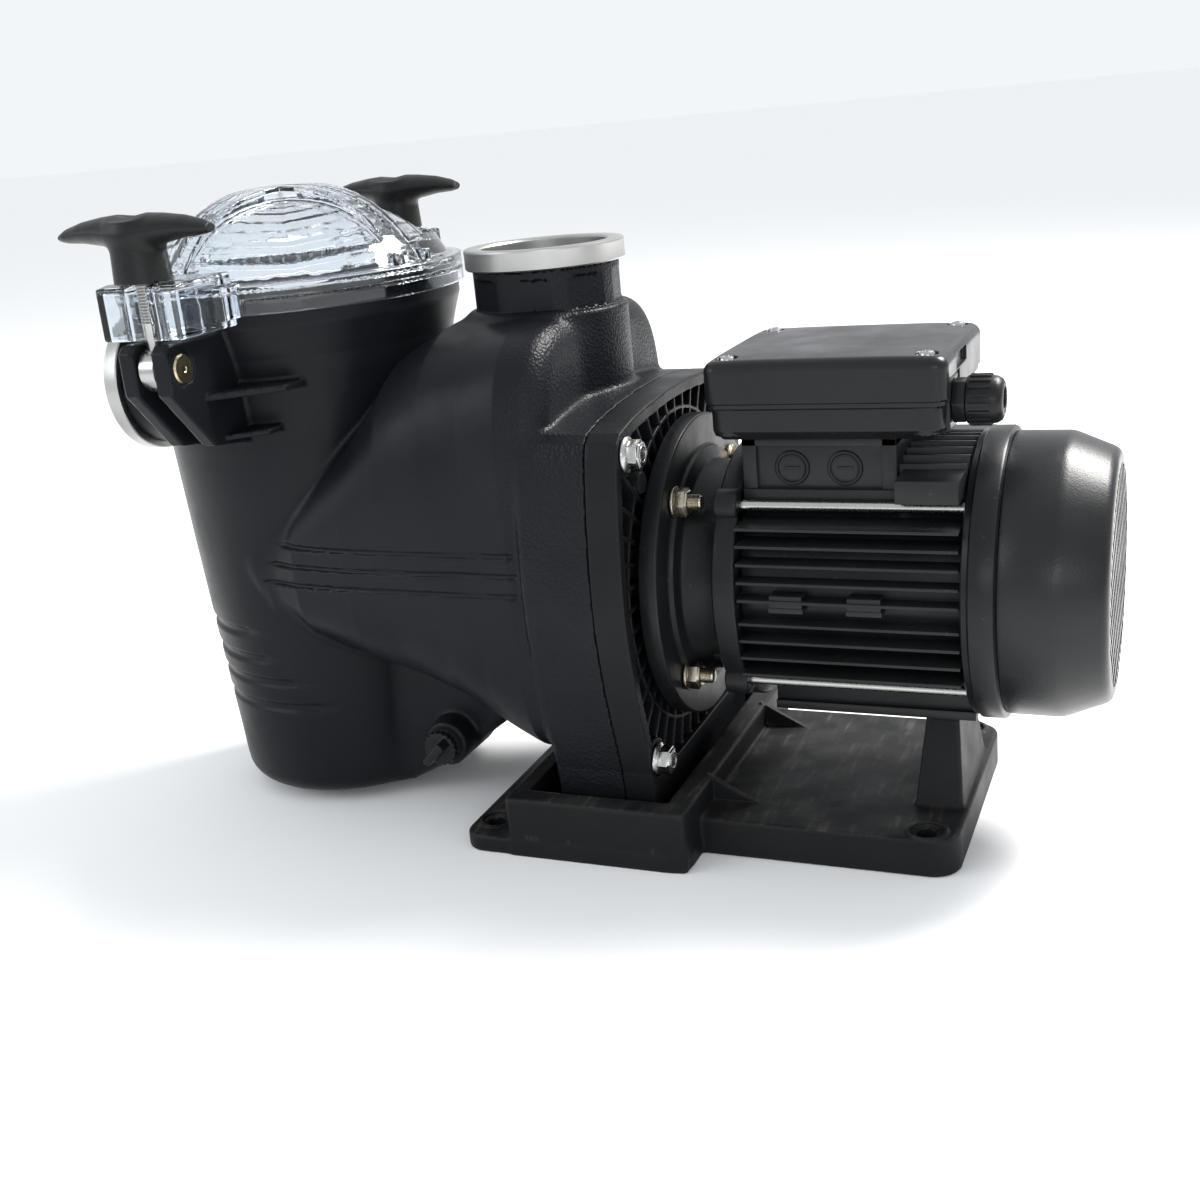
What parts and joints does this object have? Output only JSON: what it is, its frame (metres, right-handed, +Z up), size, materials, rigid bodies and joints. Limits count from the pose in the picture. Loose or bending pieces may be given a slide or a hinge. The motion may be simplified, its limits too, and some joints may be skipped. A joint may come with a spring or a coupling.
{
  "type": "pool pump",
  "caption": "Self-priming pool pump with a clear-lidded strainer pot, clamped lid, top outlet, finned motor with terminal box, and a moulded foot.",
  "frame": {"origin": "on the floor under the middle of the pump's overall length and width", "axes": "+X along the shaft from the suction port to the fan cover, +Y to the right looking along +X from the port with the foot down, +Z up"},
  "size_m": [0.5532, 0.2764, 0.3449],
  "materials": {
    "body_plastic": "glass-filled black moulding, satin with grained patches",
    "foot_plastic": "black moulding, scuffed",
    "port_steel": "turned stainless steel, satin",
    "lid_clear": "clear polycarbonate",
    "basket_plastic": "natural polypropylene",
    "knob_plastic": "black glass-filled nylon",
    "rubber": "moulded nitrile rubber",
    "brass": "turned brass",
    "bolt_steel": "stainless steel",
    "stud_zinc": "yellow zinc plated steel",
    "motor_paint": "black paint on cast aluminium, satin",
    "cover_plastic": "black polypropylene, smooth",
    "box_plastic": "black moulding, satin",
    "impeller_plastic": "glass-filled black moulding",
    "ceramic": "ground alumina ceramic",
    "carbon": "carbon ring in steel and rubber",
    "core_steel": "stacked steel laminations",
    "winding_copper": "varnished copper wire",
    "shaft_steel": "ground steel",
    "terminal_resin": "moulded thermoset",
    "capacitor_white": "plastic can"
  },
  "bodies": {
    "frame": {"pump_body": "body_plastic", "bracket": "body_plastic", "foot": "foot_plastic", "suction_ring": "port_steel", "discharge_ring": "port_steel", "strainer_lid": "lid_clear", "strainer_basket": "basket_plastic", "lid_seal": "rubber", "body_seal": "rubber", "clamp_pin_front": "brass", "clamp_pin_rear": "brass", "flange_bolt_1": "bolt_steel", "flange_bolt_2": "bolt_steel", "flange_bolt_3": "bolt_steel", "flange_bolt_4": "bolt_steel", "box_screw_1": "bolt_steel", "box_screw_2": "bolt_steel", "box_screw_3": "bolt_steel", "box_screw_4": "bolt_steel", "tie_rod_1": "bolt_steel", "tie_rod_2": "bolt_steel", "tie_rod_3": "bolt_steel", "tie_rod_4": "bolt_steel", "motor_stud_1": "stud_zinc", "motor_stud_2": "stud_zinc", "motor_stud_3": "stud_zinc", "motor_stud_4": "stud_zinc", "motor_flange": "motor_paint", "motor_housing": "motor_paint", "rear_endshield": "motor_paint", "fan_cover": "cover_plastic", "terminal_box": "box_plastic", "terminal_box_lid": "box_plastic", "cable_gland": "box_plastic", "diffuser": "impeller_plastic", "seal_seat": "ceramic", "stator_core": "core_steel", "winding_front": "winding_copper", "winding_rear": "winding_copper", "bearing_front": "shaft_steel", "bearing_rear": "shaft_steel", "terminal_block": "terminal_resin", "capacitor": "capacitor_white"},
    "rotating_shaft": {"shaft": "shaft_steel", "rotor": "core_steel", "impeller": "impeller_plastic", "fan": "cover_plastic", "seal_rotor": "carbon"},
    "clamp_front": {"eye_bolt_front": "bolt_steel"},
    "knob_nut_front": {"knob_insert_front": "brass"},
    "knob_front": {"knob_front": "knob_plastic"},
    "clamp_rear": {"eye_bolt_rear": "bolt_steel"},
    "knob_nut_rear": {"knob_insert_rear": "brass"},
    "knob_rear": {"knob_rear": "knob_plastic"},
    "drain_ring": {"drain_plug_seal": "rubber"},
    "drain_cap": {"drain_plug": "knob_plastic"},
    "gland_grommet": {"gland_seal": "rubber"},
    "gland_cap": {"gland_nut": "box_plastic"}
  },
  "joints": [
    {"name": "shaft_spin", "type": "hinge", "parent": "frame", "child": "rotating_shaft", "pos_m": [0.0694, 0, 0.1337], "axis": [1, 0, 0], "continuous": true},
    {"name": "clamp_swing_front", "type": "hinge", "parent": "frame", "child": "clamp_front", "pos_m": [-0.1651, -0.1253, 0.266], "axis": [1, 0, 0], "range_deg": [0, 110]},
    {"name": "knob_lift_front", "type": "slide", "parent": "clamp_front", "child": "knob_nut_front", "axis": [0, 0, 1], "range_m": [0, 0.00787]},
    {"name": "knob_turn_front", "type": "hinge", "parent": "knob_nut_front", "child": "knob_front", "pos_m": [-0.1651, -0.1253, 0.3137], "axis": [0, 0, 1], "range_deg": [0, 1890]},
    {"name": "clamp_swing_rear", "type": "hinge", "parent": "frame", "child": "clamp_rear", "pos_m": [-0.1651, 0.1253, 0.266], "axis": [-1, 0, 0], "range_deg": [0, 110]},
    {"name": "knob_lift_rear", "type": "slide", "parent": "clamp_rear", "child": "knob_nut_rear", "axis": [0, 0, 1], "range_m": [0, 0.00787]},
    {"name": "knob_turn_rear", "type": "hinge", "parent": "knob_nut_rear", "child": "knob_rear", "pos_m": [-0.1651, 0.1253, 0.3137], "axis": [0, 0, 1], "range_deg": [0, 1890]},
    {"name": "drain_plug_travel", "type": "slide", "parent": "frame", "child": "drain_ring", "axis": [0, -1, 0], "range_m": [0, 0.00937]},
    {"name": "drain_plug_turn", "type": "hinge", "parent": "drain_ring", "child": "drain_cap", "pos_m": [-0.0736, -0.06, 0.0407], "axis": [0, -1, 0], "range_deg": [0, 2250]},
    {"name": "gland_nut_travel", "type": "slide", "parent": "frame", "child": "gland_grommet", "axis": [1, 0, 0], "range_m": [0, 0.00337]},
    {"name": "gland_nut_turn", "type": "hinge", "parent": "gland_grommet", "child": "gland_cap", "pos_m": [0.2194, -0.03, 0.226], "axis": [1, 0, 0], "range_deg": [0, 810]}
  ],
  "couplings": [
    {"joint": "knob_turn_front", "follows": "knob_lift_front", "rad_per_m": 4188.8},
    {"joint": "knob_turn_rear", "follows": "knob_lift_rear", "rad_per_m": 4188.8},
    {"joint": "drain_plug_turn", "follows": "drain_plug_travel", "rad_per_m": 4188.8},
    {"joint": "gland_nut_turn", "follows": "gland_nut_travel", "rad_per_m": 4188.8}
  ]
}
